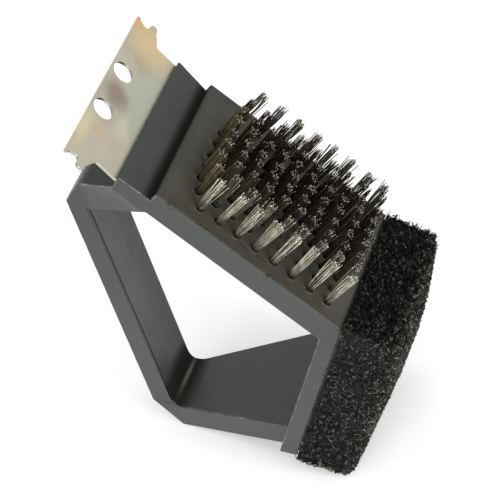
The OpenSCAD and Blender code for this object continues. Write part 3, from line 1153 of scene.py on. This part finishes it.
def tuft_wires(bm, foot, dice):
    """One tuft: wires packed tight at the foot, in two bunches that fan out to the tips, with strays."""
    lean = Vector((dice.gauss(0, TUFT_LEAN), dice.gauss(0, TUFT_LEAN), 0))
    part = Matrix.Rotation(dice.uniform(0, 2 * math.pi), 3, "Z") @ Vector((BUNCH_OFFSET, 0, 0))
    for i in range(WIRES_PER_TUFT):
        share = math.sqrt((i + 0.5) / WIRES_PER_TUFT)
        angle = i * GOLDEN_ANGLE + dice.uniform(-0.35, 0.35)
        way = Vector((math.cos(angle), math.sin(angle), 0))
        start = foot + way * (ROOT_RADIUS * share) + Vector((0, 0, -ROOT_DEPTH))
        stray = dice.random() < STRAY_SHARE
        spread = STRAY_RADIUS if stray else BUNCH_RADIUS
        reach = spread * (0.45 + 0.55 * share) * dice.uniform(0.75, 1.1)
        bunch = part if i % 2 else -part
        top = TUFT_HEIGHT + dice.uniform(-0.7, 0.15)
        tip = foot + way * reach + bunch + lean + Vector((0, 0, top))
        curl = Vector((dice.gauss(0, WIRE_CURL), dice.gauss(0, WIRE_CURL), 0))
        path = []
        for t in WIRE_SHARES:
            bow = curl * math.sin(math.pi * t) + way * (WIRE_BOW * math.sin(math.pi * t))
            path.append(start.lerp(tip, t) + bow)
        tube(bm, path, [WIRE_RADIUS] * len(path), WIRE_SIDES, wire_light_and_shade(tip, dice))


def make_tufts():
    dice = random.Random(11)
    for row in range(len(TUFTS_PER_ROW)):
        bm = bmesh.new()
        bm.verts.layers.float_color.new("wire_tint")
        for foot in tuft_places(row):
            tuft_wires(bm, foot, dice)
        wires = add_piece(f"tuft_wires_{row + 1}", bm, WIRE)
        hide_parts(f"tuft_row_{row + 1}")


make_tufts()

# ---------------- scouring pad

PAD_CELL = 0.62
PAD_CROWN = 4.2
PAD_ROUND_ENDS = 5.5
PAD_ROUND_SIDES = 2.2
PAD_ROUND_FACE = 4.0
PAD_LUMPS = [(0.13, 0.7), (0.45, 0.5), (0.95, 0.75)]
PAD_SINK = 0.3
LUMP_START = 0.2
SKIN_START = 0.4
FIBRES = 16000
FIBRE_SIDES = 4
FIBRE_STEPS = 5
FIBRE_STEP = (0.28, 0.6)
FIBRE_RADIUS = (0.10, 0.18)
FIBRE_BEND = 75
FIBRE_WOBBLE = 25
FIBRE_TINT = Vector((0.0082, 0.0098, 0.0086))
GLINT_TINT = Vector((0.0136, 0.0143, 0.0124))
GLINT_SHARE = 0.3
# How much lighter and browner fibres on the pad's outer face are: a painted sheen.
OUTER_SHEEN = (2.1, 1.9, 1.7)
FLOOR_GAP = 0.3


def pad_crown(along, wide):
    """How far the pad's outer face swells, at a distance down the plate and a share of its half width."""
    ends = eased(along, -6.0, 17.0) * (1 - 0.55 * eased(along, 30.0, PAD_LENGTH))
    return PAD_CROWN * ends * max(1 - wide * wide, 0.0) ** 0.75


def pad_shape(p):
    """Crown the outer face and round its corners."""
    outward = p.z / PAD_THICK
    thick = PAD_THICK + pad_crown(p.x, p.y / HEAD_HALF)
    q = Vector((p.x, p.y, outward * thick))
    rounds = Vector((
        PAD_ROUND_ENDS * eased(outward, 0.0, 0.8),
        PAD_ROUND_SIDES * eased(outward, 0.0, 0.6),
        PAD_ROUND_FACE,
    ))
    core = Vector((
        min(max(q.x, rounds.x), PAD_LENGTH - rounds.x),
        min(max(q.y, rounds.y - HEAD_HALF), HEAD_HALF - rounds.y),
        min(q.z, thick - rounds.z),
    ))
    out = q - core
    share = Vector([o / max(r, 0.01) for o, r in zip(out, rounds)])
    return core + out / share.length if share.length > 1 else q


def above_floor(p, place):
    """Lift a point of the pad that would sink into the floor it rests on."""
    world = place @ p
    if world.z < FLOOR_GAP * MM:
        world.z = FLOOR_GAP * MM
        return place.inverted() @ world
    return p


def pad_block():
    """The pad's six sides as one closed grid of small cells."""
    bm = bmesh.new()
    counts = [round(size / PAD_CELL) for size in (PAD_LENGTH, 2 * HEAD_HALF, PAD_THICK)]
    cache = {}

    def grid_vert(*key):
        if key not in cache:
            u, v, w = (k / n for k, n in zip(key, counts))
            flat = Vector((u * PAD_LENGTH, (2 * v - 1) * HEAD_HALF, w * PAD_THICK))
            cache[key] = bm.verts.new(pad_shape(flat))
        return cache[key]

    key = [0, 0, 0]
    for fixed in range(3):
        one, other = [axis for axis in range(3) if axis != fixed]
        for key[fixed] in (0, counts[fixed]):
            for i in range(counts[one]):
                for j in range(counts[other]):
                    corners = []
                    for key[one], key[other] in ((i, j), (i + 1, j), (i + 1, j + 1), (i, j + 1)):
                        corners.append(grid_vert(*key))
                    bm.faces.new(corners)
    bmesh.ops.recalc_face_normals(bm, faces=bm.faces)
    bm.normal_update()
    return bm


def make_pad():
    place = (
        STAND
        @ Matrix.Translation((HEAD_END.x, 0, HEAD_END.y))
        @ Matrix.Rotation(math.radians(PLATE_SLOPE), 4, "Y")
        @ Matrix.Translation((0, 0, ADHESIVE_THICK))
    )
    bm = pad_block()
    skin = [(v.co.copy(), v.normal.copy()) for v in bm.verts if v.co.z > SKIN_START]
    for v in bm.verts:
        if v.co.z > LUMP_START:
            lumps = sum(noise.noise(v.co * pitch) * size for pitch, size in PAD_LUMPS)
            v.co = above_floor(v.co + v.normal * (lumps - PAD_SINK), place)
    pad = add_piece("pad_mat", bm, PAD_CORE, place)
    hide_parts("scouring_pad")
    make_fibres(skin, place)


def make_fibres(skin, place):
    """Curly fibres that loop in and out of the pad's surface."""
    dice = random.Random(5)
    bm = bmesh.new()
    bm.verts.layers.float_color.new("fibre_tint")
    for _ in range(FIBRES):
        point, normal = dice.choice(skin)
        side = normal.orthogonal().normalized()
        way = Matrix.Rotation(dice.uniform(0, 2 * math.pi), 3, normal) @ side
        bend = dice.uniform(-FIBRE_BEND, FIBRE_BEND)
        step = dice.uniform(*FIBRE_STEP)
        p = point + normal * dice.uniform(-0.9, 0.1)
        path, tints = [], []
        lift = dice.uniform(0.5, 2.4) if normal.x < -0.6 else dice.uniform(0.2, 0.9)
        glint = dice.random() < GLINT_SHARE
        for i in range(FIBRE_STEPS):
            if glint:
                tint = GLINT_TINT * dice.uniform(2.0, 17.0)
            else:
                tint = FIBRE_TINT * dice.uniform(0.4, 1.6)
            # Painted sheen: fibres on the outer face are lighter and browner.
            outer = Vector([t * o for t, o in zip(tint, OUTER_SHEEN)])
            tints.append(tint.lerp(outer, max(normal.z, 0.0)))
            arch = math.sin(math.pi * i / (FIBRE_STEPS - 1))
            path.append(above_floor(p + normal * (lift * arch), place))
            turn = math.radians(bend + dice.uniform(-FIBRE_WOBBLE, FIBRE_WOBBLE))
            way = Matrix.Rotation(turn, 3, normal) @ way
            p = p + way * step
        tube(bm, path, [dice.uniform(*FIBRE_RADIUS)] * FIBRE_STEPS, FIBRE_SIDES, tints)
    fibres = add_piece("pad_fibres", bm, PAD_FIBRE, place)
    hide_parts("scouring_pad")


make_pad()

# ---------------- CAD pieces that stay

for node_name, node_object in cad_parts.items():
    if node_name == "pad_adhesive":
        node_object.material_slots[0].material = GLUE
    if node_name.startswith("anchor_row"):
        node_object.material_slots[0].material = ANCHOR

# ---------------- floor and light

def floor_material():
    """White studio paper that glows a little, so that it stays white."""
    material, tree, shader = new_material("studio_floor")
    paper = object_noise(tree, 60.0, detail=3.0)
    feed(tree, shader, {
        "Base Color": grey_ramp(tree, paper, (0.3, 0.94), (0.7, 0.96)),
        "Roughness": 0.9,
        "Emission Color": (1.0, 1.0, 1.0, 1.0),
        "Emission Strength": 0.30,
    })
    return material


def make_floor():
    bm = bmesh.new()
    bmesh.ops.create_grid(bm, x_segments=8, y_segments=8, size=6.0)
    mesh = bpy.data.meshes.new("floor")
    bm.to_mesh(mesh)
    bm.free()
    mesh.materials.append(floor_material())
    floor = add_object("floor", mesh)


def add_light(name, place, target, size, power):
    """A soft rectangular light that faces its target."""
    data = bpy.data.lights.new(name, "AREA")
    data.shape = "RECTANGLE"
    data.size, data.size_y = size
    data.energy = power
    light = add_object(name, data)
    light.location = place
    light.rotation_euler = (Vector(target) - Vector(place)).to_track_quat("-Z", "Y").to_euler()


def make_lights():
    world = bpy.data.worlds.new("studio")
    world.use_nodes = True
    background = world.node_tree.nodes["Background"]
    background.inputs["Color"].default_value = (1.0, 1.0, 1.0, 1.0)
    background.inputs["Strength"].default_value = 0.72
    bpy.context.scene.world = world
    middle = (0, 0, 0.07)
    add_light("key", (-0.25, -1.75, 0.35), middle, (1.0, 0.8), 24.0)
    add_light("fill", (1.5, -0.75, 0.6), middle, (0.9, 0.9), 16.0)
    bpy.context.scene.view_settings.view_transform = "Standard"


make_floor()
make_lights()
